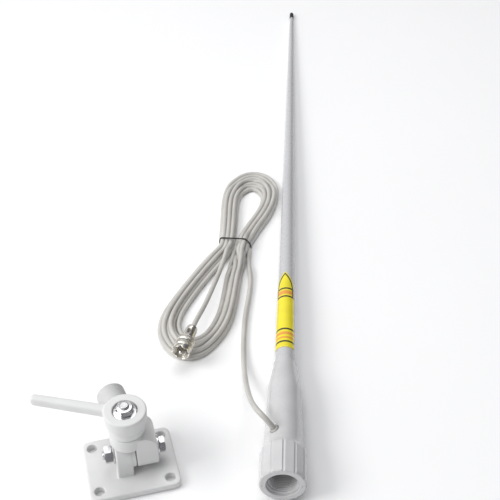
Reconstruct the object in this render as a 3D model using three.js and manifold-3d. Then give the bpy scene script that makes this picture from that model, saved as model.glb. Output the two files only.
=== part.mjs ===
// A marine omnidirectional whip antenna with its captive coax lead and its two-axis ratchet mount,
// laid out on a floor.
// Millimetres, +Z up. The origin is the centre of the mount plate's underside and the whip runs away
// along +Y.
import * as THREE from "three";
import { mergeVertices } from "three/addons/utils/BufferGeometryUtils.js";
import Module from "manifold-3d";

const wasm = await Module();
wasm.setup();

const GAP = 0.3; // left between pieces that touch
const deg = THREE.MathUtils.degToRad;

// Materials
function finish(color, roughness, metalness = 0) {
  return new THREE.MeshStandardMaterial({ color, roughness, metalness });
}
const whiteNylon = finish(0xf2f1ee, 0.28);
const satinNylon = finish(0xeceae6, 0.5);
const fibreglass = finish(0xe9e9e7, 0.3);
const blackRubber = finish(0x151515, 0.7);
const labelFilm = finish(0xf2e21c, 0.35);
const coaxJacket = finish(0xdcdad3, 0.45);
const nickel = finish(0xc9c6be, 0.25, 1);
const stainless = finish(0xb9babb, 0.28, 1);
const brass = finish(0xc9a24a, 0.3, 1);
const copper = finish(0xb4623a, 0.35, 1);
const cream = finish(0xe6dcc0, 0.6);

// ---------------------------------------------------------------- solids

// A closed geometry as a manifold-3d solid, turned face-out whichever way its outline ran.
function solid(geometry) {
  const loose = geometry.index ? geometry.toNonIndexed() : geometry.clone();
  loose.deleteAttribute("normal");
  loose.deleteAttribute("uv");
  const merged = mergeVertices(loose, 1e-4);
  const triVerts = new Uint32Array(merged.index.array);
  const vertProperties = merged.attributes.position.array;
  const make = () => new wasm.Manifold(new wasm.Mesh({ numProp: 3, vertProperties, triVerts }));
  const made = make();
  if (made.volume() > 0) return made;
  for (let i = 0; i < triVerts.length; i += 3) {
    [triVerts[i + 1], triVerts[i + 2]] = [triVerts[i + 2], triVerts[i + 1]];
  }
  return make();
}

function geometryOf(made) {
  const mesh = made.getMesh();
  const geometry = new THREE.BufferGeometry();
  geometry.setAttribute("position", new THREE.BufferAttribute(new Float32Array(mesh.vertProperties), 3));
  geometry.setIndex(new THREE.BufferAttribute(new Uint32Array(mesh.triVerts), 1));
  geometry.computeVertexNormals();
  return geometry;
}

function addPart(group, name, made, material) {
  const mesh = new THREE.Mesh(geometryOf(made), material);
  mesh.name = name;
  group.add(mesh);
}

// A profile of [radius, y] points turned about the Y axis. One that doesn't start on the axis closes on
// itself.
function turned(profile, segments = 32) {
  const points = profile.map(([r, y]) => new THREE.Vector2(r, y));
  if (profile[0][0] > 0) points.push(points[0].clone());
  return new THREE.LatheGeometry(points, segments);
}

function tube(outer, inner, low, high, segments = 24) {
  return turned([[inner, low], [outer, low], [outer, high], [inner, high]], segments);
}

function rod(radius, low, high, segments = 24) {
  return turned([[0, low], [radius, low], [radius, high], [0, high]], segments);
}

// Turns a geometry made along Y to stand along Z, or to lie along X.
const alongZ = (geometry) => geometry.rotateX(Math.PI / 2);
const alongX = (geometry) => geometry.rotateZ(-Math.PI / 2);

// An outline drawn in the plate's depth and height, pushed out along X from one place to another.
function slabAlongX(outline, from, to) {
  const options = { depth: to - from, bevelEnabled: false, curveSegments: 12 };
  const geometry = new THREE.ExtrudeGeometry(outline, options);
  const basis = new THREE.Matrix4().makeBasis(
    new THREE.Vector3(0, 1, 0),
    new THREE.Vector3(0, 0, 1),
    new THREE.Vector3(1, 0, 0),
  );
  return geometry.applyMatrix4(basis).translate(from, 0, 0);
}

function slabAlongZ(outline, from, to, curveSegments = 6) {
  const options = { depth: to - from, bevelEnabled: false, curveSegments };
  const geometry = new THREE.ExtrudeGeometry(outline, options);
  return geometry.translate(0, 0, from);
}

// A round cord along a list of hand-chosen points.
function cordAlong(points, radius, steps, sides = 10) {
  const path = new THREE.CatmullRomCurve3(points.map((p) => new THREE.Vector3(...p)));
  const section = new THREE.Shape();
  for (let i = 0; i < sides; i++) {
    const angle = (2 * Math.PI * i) / sides;
    const spot = [radius * Math.cos(angle), radius * Math.sin(angle)];
    if (i) section.lineTo(...spot);
    else section.moveTo(...spot);
  }
  return new THREE.ExtrudeGeometry(section, { extrudePath: path, steps, bevelEnabled: false });
}

// ------------------------------------------------ the antenna, made along its own Y from the socket's mouth

const collar = { radius: 20.3, length: 32, flareEnd: 42, panels: 12, grooveWidth: 2.4, grooveDepth: 1.5 };
const shell = {
  lowRadius: 16.9, highRadius: 15.5, coneStart: 108, coneEnd: 138,
  topRadius: 10.9, top: 141,
};
const socket = { mouthRadius: 14.2, mouthDepth: 3, threadRadius: 12.5, depth: 30 };
const whip = {
  start: 72, root: 148, rootRadius: 9.5,
  tipRadius: 2.5, tip: 886, boreRoot: 6.6, boreTip: 1.6,
};
const cap = { radius: 2.8, start: 878, end: 895, neck: 1.9 };
const label = { start: 156, end: 268, thickness: 0.35 };
const coax = { radius: 2.5, exitAlong: 49, exitTurn: deg(30), exitHole: 4.25 };
const innerBore = whip.rootRadius + GAP;
const potting = { start: 31, end: 45 };

const whipRadius = (y) => {
  const share = (y - whip.root) / (whip.tip - whip.root);
  return whip.rootRadius + (whip.tipRadius - whip.rootRadius) * Math.max(0, share);
};
const boreRadius = (y) => {
  const share = (y - whip.start) / (whip.tip - whip.start);
  return whip.boreRoot + (whip.boreTip - whip.boreRoot) * share;
};

// The collar's outer groove edges and the tip cap are what the antenna lies on.
const grooveEdge = collar.radius * 0.985;
const slope = Math.atan2(grooveEdge - cap.radius, cap.end - cap.radius - collar.length);
const antennaAt = new THREE.Vector3(
  132,
  -30,
  collar.length * Math.sin(slope) + grooveEdge * Math.cos(slope),
);

function collarSolid() {
  const radius = collar.radius;
  const profile = [
    [0, 0],
    [radius - 0.8, 0],
    [radius, 0.8],
    [radius, collar.length],
    [shell.lowRadius, collar.flareEnd],
    [0, collar.flareEnd],
  ];
  const turnedCollar = solid(turned(profile, collar.panels));
  const groove = new THREE.BoxGeometry(collar.grooveWidth, 2 * collar.flareEnd, 2 * collar.grooveDepth);
  const grooves = [];
  for (let i = 0; i < collar.panels; i++) {
    const turn = (2 * Math.PI * i) / collar.panels;
    const cut = groove.clone().translate(0, collar.flareEnd - 2, radius).rotateY(turn);
    grooves.push(solid(cut));
  }
  return turnedCollar.subtract(wasm.Manifold.union(grooves));
}

function shellSolid() {
  return solid(turned([
    [0, 2],
    [shell.lowRadius, 2],
    [shell.lowRadius, collar.flareEnd],
    [shell.highRadius, shell.coneStart],
    [shell.topRadius, shell.coneEnd],
    [shell.topRadius, shell.top - 1],
    [shell.topRadius - 1, shell.top],
    [0, shell.top],
  ], 36));
}

function ferruleBore() {
  return solid(turned([
    [0, -1],
    [socket.mouthRadius, -1],
    [socket.mouthRadius, socket.mouthDepth],
    [socket.threadRadius, socket.mouthDepth + 1.5],
    [socket.threadRadius, socket.depth],
    [innerBore, socket.depth + 0.5],
    [innerBore, shell.top + 1],
    [0, shell.top + 1],
  ], 36));
}

// The cable leaves along a spoke of the collar's circle, this far round from the top.
function alongExit(geometry) {
  return geometry
    .rotateX(Math.PI / 2)
    .rotateY(-coax.exitTurn)
    .translate(0, coax.exitAlong, 0);
}

function ferrule() {
  const exitHole = solid(alongExit(rod(coax.exitHole, 6, 24)));
  return collarSolid().add(shellSolid()).subtract(ferruleBore()).subtract(exitHole);
}

function grommet() {
  return solid(alongExit(tube(coax.exitHole - GAP, coax.radius + GAP, 15.2, 18.4)));
}

function whipTube() {
  const profile = [
    [boreRadius(whip.start), whip.start],
    [whip.rootRadius, whip.start],
    [whip.rootRadius, whip.root],
  ];
  const rings = 6;
  for (let i = 1; i <= rings; i++) {
    const y = whip.root + ((cap.start - whip.root) * i) / rings;
    profile.push([whipRadius(y), y]);
  }
  profile.push([cap.neck, cap.start], [cap.neck, whip.tip], [boreRadius(whip.tip) - 0.2, whip.tip]);
  return solid(turned(profile, 24));
}

function tipCap() {
  const wall = cap.neck + GAP;
  return solid(turned([
    [wall, cap.start + GAP],
    [cap.radius, cap.start + GAP],
    [cap.radius, cap.end - 3],
    [cap.radius * 0.8, cap.end - 1.2],
    [cap.radius * 0.4, cap.end],
    [0, cap.end],
    [0, whip.tip + GAP],
    [wall, whip.tip + GAP],
    [wall, cap.start + GAP],
  ], 16));
}

function labelBand() {
  const profile = [];
  for (const [y, lift] of [
    [label.start, GAP],
    [label.start, GAP + label.thickness],
    [label.end, GAP + label.thickness],
    [label.end, GAP],
  ]) {
    profile.push([whipRadius(y) + lift, y]);
  }
  return solid(turned(profile, 24));
}

// The matching coil, wound round its former at the whip's root.
const winding = { from: 150, to: 196, turns: 7, radius: 4.2, wire: 0.6, stepsPerTurn: 9 };
const sleeve = { outer: 5.4, inner: 3, from: 98, to: 142 };
const radiator = { radius: 0.9, end: 868 };
const spacer = { places: [330, 540, 740], length: 8 };

function coilFormer() {
  return solid(rod(winding.radius - winding.wire - GAP, winding.from - 4, winding.to + 4, 16));
}

function matchingCoil() {
  const points = [];
  const steps = winding.turns * winding.stepsPerTurn;
  for (let i = 0; i <= steps; i++) {
    const angle = (2 * Math.PI * i) / winding.stepsPerTurn;
    const y = winding.from + ((winding.to - winding.from) * i) / steps;
    points.push([winding.radius * Math.cos(angle), y, winding.radius * Math.sin(angle)]);
  }
  return solid(cordAlong(points, winding.wire, steps, 6));
}

// The exit's spoke in the antenna's own frame: [distance from the axis, distance along it].
const onSpoke = (out, y) => [-out * Math.sin(coax.exitTurn), y, out * Math.cos(coax.exitTurn)];

function feedCoax() {
  const route = [
    onSpoke(0, 96),
    onSpoke(0, 82),
    onSpoke(0.6, 70),
    onSpoke(2.2, 61.2),
    onSpoke(4.6, 53.4),
    onSpoke(8.4, 49.6),
    onSpoke(14.8, coax.exitAlong),
  ];
  return solid(cordAlong(route, coax.radius, 14));
}

function antennaGroup() {
  const group = new THREE.Group();
  group.position.copy(antennaAt);
  group.rotation.x = -slope;
  addPart(group, "ferrule", ferrule(), whiteNylon);
  addPart(group, "cable_grommet", grommet(), coaxJacket);
  addPart(group, "potting_plug", solid(rod(innerBore - GAP, potting.start, potting.end)), cream);
  addPart(group, "feed_coax", feedCoax(), coaxJacket);
  addPart(group, "whip_tube", whipTube(), fibreglass);
  addPart(group, "tip_cap", tipCap(), blackRubber);
  addPart(group, "label_band", labelBand(), labelFilm);
  addPart(group, "ground_sleeve", solid(tube(sleeve.outer, sleeve.inner, sleeve.from, sleeve.to)), brass);
  addPart(group, "coil_former", coilFormer(), cream);
  addPart(group, "matching_coil", matchingCoil(), copper);
  addPart(group, "radiator_wire", solid(rod(radiator.radius, winding.to + 5, radiator.end, 12)), copper);
  spacer.places.forEach((y, i) => {
    const end = y + spacer.length;
    const disc = tube(boreRadius(end) - GAP, radiator.radius + GAP, y, end, 16);
    addPart(group, `wire_spacer_${i + 1}`, solid(disc), cream);
  });
  return group;
}

// ---------------------------------------------------------------- the free coax and its hank, on the floor

const floorLift = coax.radius + 0.1;
const hank = { low: 1.6, high: 10.6 };

// From the exit over to the floor, along the whip's side and up to the tie.
const tailRoute = [
  [124.3, 19.3, 33],
  [122.1, 19.4, 36.8],
  [119.1, 19.9, 41.4],
  [115.3, 21.8, 45.2],
  [111, 25.8, 46.8],
  [107.2, 32.4, 45.2],
  [104.2, 42, 40],
  [101.6, 54.6, 32],
  [99, 70.4, 22.8],
  [96.4, 89, 14],
  [94, 109, 7.6],
  [92, 130, 4],
  [90.9, 151, floorLift],
  [90.5, 172, floorLift],
  [91, 193, floorLift],
  [92.4, 213, floorLift],
  [93.8, 233, floorLift],
  [93.4, 254, 3.6],
  [90.2, 276, 5.6],
  [88.4, 293, 7],
  [88.3, 306.6, 7.2],
];

// Off the top of the bundle, down over the loops and into the back of the plug.
const plugLeadRoute = [
  [68.6, 299, 13.4],
  [67, 284, 13.4],
  [64.6, 266, 13.4],
  [61, 246, 13.4],
  [56.8, 226, 13.4],
  [52.4, 206, 13.6],
  [48.6, 189, 15],
  [45.4, 175, 17.6],
  [42.8, 163, 19.6],
  [41.1, 155.8, 20],
];

// The hank seen from above: a small loop at the far end, the tied waist, and a long loop toward the mount.
function hankOutline() {
  const outline = new THREE.Shape();
  outline.moveTo(84.5, 307);
  outline.lineTo(92, 307);
  outline.bezierCurveTo(97, 326, 121, 348, 121, 392);
  outline.bezierCurveTo(121, 458, 62, 452, 56, 386);
  outline.bezierCurveTo(53, 350, 62, 326, 59, 300);
  outline.bezierCurveTo(52, 246, 10, 226, 5, 166);
  outline.bezierCurveTo(0, 112, 58, 102, 74, 160);
  outline.bezierCurveTo(88, 216, 76, 262, 84.5, 296);
  return outline;
}

function hankTie() {
  const outer = { left: 57, right: 93, low: 0.1, high: 18.6 };
  const wall = 1.2;
  const ring = new THREE.Shape();
  ring.moveTo(outer.left, outer.low);
  ring.lineTo(outer.right, outer.low);
  ring.lineTo(outer.right, outer.high);
  ring.lineTo(outer.left, outer.high);
  ring.closePath();
  const hole = new THREE.Path();
  hole.moveTo(outer.left + wall, outer.low + wall);
  hole.lineTo(outer.left + wall, outer.high - wall);
  hole.lineTo(outer.right - wall, outer.high - wall);
  hole.lineTo(outer.right - wall, outer.low + wall);
  hole.closePath();
  ring.holes.push(hole);
  const band = new THREE.ExtrudeGeometry(ring, { depth: 2.4, bevelEnabled: false });
  return solid(alongZ(band).translate(0, 304, 0));
}

// The screw-on plug, made along its own Y from where the cable goes in to its mouth.
const plug = {
  at: new THREE.Vector3(41, 155.4, 20), turn: deg(166),
  shank: 5.7, ring: 9, ringFrom: 18, ringTo: 36,
};

function plugBody() {
  return solid(turned([
    [4.3, 4.3],
    [plug.shank, 4.3],
    [plug.shank, plug.ringFrom + 3.5],
    [7.2, plug.ringFrom + 3.5],
    [7.2, 25],
    [6.4, 25],
    [6.4, 27],
    [4.5, 27],
    [4.5, 22],
    [4.3, 22],
  ]));
}

function plugRing() {
  return solid(turned([
    [plug.shank + GAP, plug.ringFrom],
    [plug.ring, plug.ringFrom],
    [plug.ring, plug.ringTo],
    [7.8, plug.ringTo],
    [7.8, plug.ringFrom + 3],
    [plug.shank + GAP, plug.ringFrom + 3],
  ]));
}

function plugReducer() {
  return solid(turned([
    [coax.radius + GAP, 0.2],
    [5.2, 0.2],
    [5.2, 4],
    [4, 4],
    [4, 14],
    [coax.radius + GAP, 14],
  ]));
}

function plugGroup() {
  const group = new THREE.Group();
  group.position.copy(plug.at);
  group.rotation.z = plug.turn;
  addPart(group, "plug_reducer", plugReducer(), nickel);
  addPart(group, "plug_body", plugBody(), nickel);
  addPart(group, "plug_insulator", solid(rod(4.2, 22.3, 27.6)), cream);
  addPart(group, "plug_pin", solid(rod(2, 27.9, 37, 12)), nickel);
  addPart(group, "plug_coupling_ring", plugRing(), nickel);
  return group;
}

function cordGroup() {
  const group = new THREE.Group();
  addPart(group, "coax_tail", solid(cordAlong(tailRoute, coax.radius, 44)), coaxJacket);
  addPart(group, "coax_hank", solid(slabAlongZ(hankOutline(), hank.low, hank.high, 8)), coaxJacket);
  addPart(group, "hank_tie", hankTie(), blackRubber);
  addPart(group, "plug_lead", solid(cordAlong(plugLeadRoute, coax.radius, 24)), coaxJacket);
  group.add(plugGroup());
  return group;
}

// ------------------------------------------------ the ratchet mount, made square to its plate

const mountYaw = deg(17);
const plate = { length: 78, depth: 65, height: 6.5, corner: 6, holeX: 30.4, holeY: 23.6, holeRadius: 4.4 };
const pivot = { height: 22.8, radius: 14.5 }; // the tilt bolt lies along X at this height
const ear = { from: -12.9, to: 1, discTo: 4.2 };
const lug = { from: 4.7, to: 23.5, top: 50, round: 14 };
const column = { radius: 15.5, low: 37.9, top: 51.6 };
const bolt = { radius: 4, clear: 4.3, headRadius: 7.5, nutRadius: 7.6, tiltNutRadius: 8.1 };
const boltPocket = { radius: 8, depth: 6 };
const washer = { tiltRadius: 9, swivelRadius: 9.9, thickness: 1.5 };
const hub = { low: 60.9, top: 75.2, lowRadius: 17.6, topRadius: 18.3, recess: 3.7, recessRadius: 10.6 };
const handle = { length: 83, low: 65.5, high: 74.4, root: 4.7, tip: 3.9, turn: deg(154) };
const stud = {
  turn: deg(100), height: 50.5, radius: 12.5, end: 46,
  collar: 13.3, collarFrom: 19.5, collarTo: 23,
};

function roundedPlate() {
  const x = plate.length / 2;
  const y = plate.depth / 2;
  const r = plate.corner;
  const outline = new THREE.Shape();
  outline.moveTo(x, y - r);
  outline.absarc(x - r, y - r, r, 0, Math.PI / 2);
  outline.absarc(r - x, y - r, r, Math.PI / 2, Math.PI);
  outline.absarc(r - x, r - y, r, Math.PI, 1.5 * Math.PI);
  outline.absarc(x - r, r - y, r, 1.5 * Math.PI, 2 * Math.PI);
  for (const [sx, sy] of [[1, 1], [1, -1], [-1, 1], [-1, -1]]) {
    const hole = new THREE.Path();
    hole.absarc(sx * plate.holeX, sy * plate.holeY, plate.holeRadius, 0, 2 * Math.PI);
    outline.holes.push(hole);
  }
  return solid(slabAlongZ(outline, 0, plate.height, 8));
}

// An upright slab seen from its side, with one round end about the tilt bolt.
function earOutline() {
  const outline = new THREE.Shape();
  outline.moveTo(-pivot.radius, 1);
  outline.lineTo(pivot.radius, 1);
  outline.lineTo(pivot.radius, pivot.height);
  outline.absarc(0, pivot.height, pivot.radius, 0, Math.PI);
  return outline;
}

function lugOutline() {
  const outline = new THREE.Shape();
  outline.moveTo(pivot.radius, lug.top);
  outline.lineTo(-pivot.radius, lug.top);
  outline.lineTo(-pivot.radius, pivot.height);
  outline.absarc(0, pivot.height, pivot.radius, Math.PI, 2 * Math.PI);
  return outline;
}

const boltHole = (from, to) => solid(alongX(rod(bolt.clear, from, to)).translate(0, 0, pivot.height));

function basePlate() {
  const disc = solid(alongX(rod(pivot.radius, ear.to - 1, ear.discTo, 32)).translate(0, 0, pivot.height));
  return roundedPlate()
    .add(solid(slabAlongX(earOutline(), ear.from, ear.to)))
    .add(disc)
    .subtract(boltHole(ear.from - 1, ear.discTo + 1));
}

// Rounds the lug's outer shoulder where it comes down from the column.
function shoulderCut() {
  const outline = new THREE.Shape();
  const centre = [lug.to - lug.round, lug.top - lug.round];
  outline.moveTo(centre[0], lug.top);
  outline.absarc(...centre, lug.round, Math.PI / 2, 0, true);
  outline.lineTo(lug.to + 2, centre[1]);
  outline.lineTo(lug.to + 2, lug.top + 2);
  outline.lineTo(centre[0], lug.top + 2);
  const reach = 2 * pivot.radius + 2;
  const options = { depth: reach, bevelEnabled: false, curveSegments: 8 };
  const geometry = new THREE.ExtrudeGeometry(outline, options);
  return solid(alongZ(geometry).translate(0, reach / 2, 0));
}

function tiltBlock() {
  const hexagon = alongZ(hexPrism(boltPocket.radius, -boltPocket.depth, boltPocket.depth));
  const pocket = solid(hexagon.translate(0, 0, column.low));
  const swivelHole = solid(alongZ(rod(bolt.clear, column.low - 1, column.top + 1)));
  const lugSolid = solid(slabAlongX(lugOutline(), lug.from, lug.to)).subtract(shoulderCut());
  return solid(alongZ(rod(column.radius, column.low, column.top, 32)))
    .add(lugSolid)
    .subtract(boltHole(lug.from - 1, lug.to + 1))
    .subtract(swivelHole)
    .subtract(pocket);
}

function studBlock() {
  const low = column.top + 0.4;
  const high = hub.low - 0.4;
  const along = (geometry) => solid(alongX(geometry).translate(0, 0, stud.height));
  const neckBox = new THREE.BoxGeometry(stud.collarFrom - 7, 22, high - low);
  const neck = solid(neckBox.translate((stud.collarFrom + 9) / 2, 0, (low + high) / 2));
  return solid(alongZ(rod(column.radius, low, high, 32)))
    .add(neck)
    .add(along(rod(stud.collar, stud.collarFrom, stud.collarTo, 32)))
    .add(along(turned([
      [0, stud.collarTo - 1],
      [stud.radius, stud.collarTo - 1],
      [stud.radius, stud.end - 1.5],
      [stud.radius - 1.5, stud.end],
      [0, stud.end],
    ], 32)))
    .subtract(solid(alongZ(rod(bolt.clear, low - 1, high + 1))));
}

// The handle's grip from above: wide at the hub, narrower at its round tip.
function handleOutline() {
  const outline = new THREE.Shape();
  const tipAt = handle.length - handle.tip;
  outline.moveTo(hub.recessRadius + 3, -handle.root);
  outline.lineTo(tipAt, -handle.tip);
  outline.absarc(tipAt, 0, handle.tip, -Math.PI / 2, Math.PI / 2);
  outline.lineTo(hub.recessRadius + 3, handle.root);
  return outline;
}

function lever() {
  const profile = [
    [0, hub.low],
    [hub.lowRadius, hub.low],
    [hub.topRadius, hub.top - 1],
    [hub.topRadius - 1, hub.top],
    [0, hub.top],
  ];
  const recess = rod(hub.recessRadius, hub.top - hub.recess, hub.top + 1);
  return solid(alongZ(turned(profile, 36)))
    .add(solid(slabAlongZ(handleOutline(), handle.low, handle.high, 10)))
    .subtract(solid(alongZ(recess)))
    .subtract(solid(alongZ(rod(bolt.clear, hub.low - 1, hub.top + 1))));
}

function hexPrism(radius, low, high) {
  return new THREE.CylinderGeometry(radius, radius, high - low, 6).translate(0, (low + high) / 2, 0);
}

function hexNut(radius, low, high) {
  return solid(hexPrism(radius, low, high)).subtract(solid(rod(bolt.clear, low - 1, high + 1)));
}

function hexBolt(headLow, headHigh, end) {
  const shankFrom = end > headHigh ? headHigh - 1 : headLow + 1;
  const shank = rod(bolt.radius, Math.min(shankFrom, end), Math.max(shankFrom, end));
  return solid(hexPrism(bolt.headRadius, headLow, headHigh)).add(solid(shank));
}

function tiltFasteners() {
  const group = new THREE.Group();
  group.position.z = pivot.height;
  group.rotation.z = -Math.PI / 2;
  const left = ear.from - GAP;
  const right = lug.to + GAP;
  const tiltWasher = (from) => solid(tube(washer.tiltRadius, bolt.clear, from, from + washer.thickness));
  addPart(group, "tilt_washer_nut_side", tiltWasher(left - washer.thickness), stainless);
  addPart(group, "tilt_nut", hexNut(bolt.tiltNutRadius, left - 8.6, left - 1.8), stainless);
  addPart(group, "tilt_washer_head_side", tiltWasher(right), stainless);
  addPart(group, "tilt_bolt", hexBolt(right + 1.8, right + 7.1, left - 10.4), stainless);
  return group;
}

function swivelFasteners() {
  const group = new THREE.Group();
  group.rotation.x = Math.PI / 2;
  const seat = hub.top - hub.recess + GAP;
  addPart(group, "swivel_bolt", hexBolt(column.low + 0.3, column.low + 5.6, hub.top + 6), stainless);
  const flange = tube(washer.swivelRadius, bolt.clear, seat, seat + washer.thickness);
  addPart(group, "swivel_washer", solid(flange), stainless);
  addPart(group, "swivel_nut", hexNut(bolt.nutRadius, seat + 1.8, seat + 7.4), stainless);
  return group;
}

function mountGroup() {
  const group = new THREE.Group();
  group.rotation.z = mountYaw;
  addPart(group, "base_plate", basePlate(), satinNylon);
  addPart(group, "tilt_block", tiltBlock(), satinNylon);
  const studTurn = new THREE.Group();
  studTurn.rotation.z = stud.turn;
  addPart(studTurn, "stud_block", studBlock(), satinNylon);
  const leverTurn = new THREE.Group();
  leverTurn.rotation.z = handle.turn;
  addPart(leverTurn, "lever", lever(), satinNylon);
  group.add(studTurn, leverTurn, tiltFasteners(), swivelFasteners());
  return group;
}

const kit = new THREE.Group();
kit.add(antennaGroup(), cordGroup(), mountGroup());

export default kit;
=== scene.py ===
import math

import bmesh
import bpy
import numpy as np
from mathutils import Matrix, Vector


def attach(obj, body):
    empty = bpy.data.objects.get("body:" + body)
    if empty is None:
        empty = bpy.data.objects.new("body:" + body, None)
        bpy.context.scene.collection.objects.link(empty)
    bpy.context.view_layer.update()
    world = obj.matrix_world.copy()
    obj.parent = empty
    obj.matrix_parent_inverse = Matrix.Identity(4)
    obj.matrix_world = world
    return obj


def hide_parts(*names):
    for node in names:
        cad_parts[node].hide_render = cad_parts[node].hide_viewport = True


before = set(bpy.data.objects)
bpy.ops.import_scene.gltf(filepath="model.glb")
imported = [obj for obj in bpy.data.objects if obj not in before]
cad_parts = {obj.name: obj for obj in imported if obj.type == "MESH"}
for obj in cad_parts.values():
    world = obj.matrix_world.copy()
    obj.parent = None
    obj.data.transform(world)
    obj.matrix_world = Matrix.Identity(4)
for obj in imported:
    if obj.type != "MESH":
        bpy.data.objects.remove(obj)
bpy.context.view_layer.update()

MM = 0.001
TURN = 2 * math.pi
GAP = 0.3  # mm, between CAD pieces that touch

# -------------------------------- the camera, at the photograph's angle

CAMERA_AT = (0.12581, -0.54462, 0.70439)
CAMERA_LENS = 72
CAMERA_DIP = math.radians(39.8)
CAMERA_TURN = math.radians(2.34)


def make_camera():
    data = bpy.data.cameras.new("camera")
    data.lens = CAMERA_LENS
    camera = bpy.data.objects.new("camera", data)
    camera.location = CAMERA_AT
    camera.rotation_euler = (math.pi / 2 - CAMERA_DIP, 0, CAMERA_TURN)
    bpy.context.collection.objects.link(camera)
    bpy.context.scene.camera = camera


make_camera()

# -------------------------------- materials


def noise(tree, scale, stretch=(1, 1, 1)):
    coords = tree.nodes.new("ShaderNodeTexCoord")
    mapping = tree.nodes.new("ShaderNodeMapping")
    mapping.inputs["Scale"].default_value = stretch
    texture = tree.nodes.new("ShaderNodeTexNoise")
    texture.inputs["Scale"].default_value = scale
    texture.inputs["Detail"].default_value = 3
    tree.links.new(coords.outputs["Object"], mapping.inputs["Vector"])
    tree.links.new(mapping.outputs["Vector"], texture.inputs["Vector"])
    return texture.outputs["Fac"]


def color_stops(tree, fac, stops, interpolation="LINEAR"):
    node = tree.nodes.new("ShaderNodeValToRGB")
    node.color_ramp.interpolation = interpolation
    elements = node.color_ramp.elements
    elements.remove(elements[1])
    elements[0].position = stops[0][0]
    elements[0].color = (*stops[0][1], 1)
    for position, color in stops[1:]:
        elements.new(position).color = (*color, 1)
    tree.links.new(fac, node.inputs["Fac"])
    return node.outputs["Color"]


def spread(tree, fac, low, high):
    node = tree.nodes.new("ShaderNodeMapRange")
    node.inputs["From Min"].default_value = 0.3
    node.inputs["From Max"].default_value = 0.7
    node.inputs["To Min"].default_value = low
    node.inputs["To Max"].default_value = high
    tree.links.new(fac, node.inputs["Value"])
    return node.outputs["Result"]


def mixed(tree, share, one, two, blend="MIX"):
    """One colour where the share is 0, the other where it is 1. Each may be an output or a plain value."""
    node = tree.nodes.new("ShaderNodeMix")
    node.data_type = "RGBA"
    node.blend_type = blend
    for socket, value in ((node.inputs[0], share), (node.inputs[6], one), (node.inputs[7], two)):
        if isinstance(value, bpy.types.NodeSocket):
            tree.links.new(value, socket)
        else:
            socket.default_value = value
    return node.outputs[2]


def add_bump(tree, shader, fac, height):
    bump = tree.nodes.new("ShaderNodeBump")
    bump.inputs["Strength"].default_value = 1
    bump.inputs["Distance"].default_value = height
    tree.links.new(fac, bump.inputs["Height"])
    tree.links.new(bump.outputs["Normal"], shader.inputs["Normal"])


def finish(name, light, dark, rough, metallic=0, mottle=60, grain=1500, height=0.00001, stretch=(1, 1, 1)):
    """A shader whose colour drifts between two tones, with roughness and a fine relief from its grain."""
    made = bpy.data.materials.new(name)
    made.use_nodes = True
    tree = made.node_tree
    shader = tree.nodes["Principled BSDF"]
    shader.inputs["Metallic"].default_value = metallic
    tones = color_stops(tree, noise(tree, mottle, stretch), [(0.3, dark), (0.7, light)])
    tree.links.new(tones, shader.inputs["Base Color"])
    grains = noise(tree, grain, stretch)
    tree.links.new(spread(tree, grains, *rough), shader.inputs["Roughness"])
    add_bump(tree, shader, grains, height)
    return made


def with_coat(made, weight, roughness):
    shader = made.node_tree.nodes["Principled BSDF"]
    shader.inputs["Coat Weight"].default_value = weight
    shader.inputs["Coat Roughness"].default_value = roughness
    return made


RINGS = (0.3, 12, 0.3)  # stretches a grain into rings about a piece's own Y
STREAKS = (1, 0.2, 1)  # and into streaks along it

GLOSS_NYLON = with_coat(
    finish("gloss_nylon", (0.6, 0.595, 0.6), (0.56, 0.555, 0.56), (0.2, 0.3)),
    0.5, 0.08,
)
SATIN_NYLON = finish(
    "satin_nylon", (0.73, 0.73, 0.725), (0.69, 0.69, 0.685), (0.36, 0.5), grain=900, height=0.00002
)
GELCOAT = with_coat(
    finish("gelcoat", (0.56, 0.56, 0.57), (0.5, 0.5, 0.515), (0.22, 0.34), mottle=25, stretch=STREAKS),
    0.4, 0.1,
)
BLACK = finish("black_rubber", (0.022, 0.022, 0.023), (0.012, 0.012, 0.012), (0.5, 0.75), height=0.00003)
JACKET = finish("coax_jacket", (0.58, 0.565, 0.535), (0.5, 0.485, 0.455), (0.3, 0.45), mottle=45, grain=700)
NICKEL = finish("nickel", (0.78, 0.75, 0.69), (0.62, 0.59, 0.53), (0.14, 0.3), 1, mottle=300, stretch=RINGS)
STEEL = finish(
    "stainless", (0.74, 0.74, 0.75), (0.55, 0.55, 0.56), (0.14, 0.32), 1, mottle=300, stretch=RINGS
)
BRASS = finish("brass", (0.72, 0.52, 0.22), (0.6, 0.42, 0.16), (0.2, 0.35), 1)
COPPER = finish("copper", (0.75, 0.36, 0.2), (0.62, 0.28, 0.14), (0.2, 0.4), 1)
CREAM = finish("cream_plastic", (0.72, 0.64, 0.47), (0.62, 0.54, 0.38), (0.4, 0.6))
FLOOR = finish("floor", (0.95, 0.95, 0.95), (0.94, 0.94, 0.94), (0.6, 0.7), mottle=4, grain=40, height=0)

# -------------------------------- mesh helpers


def add_object(name, data, matrix, surface):
    obj = bpy.data.objects.new(name, data)
    bpy.context.collection.objects.link(obj)
    data.materials.append(surface)
    obj.matrix_world = matrix
    return obj


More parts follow.
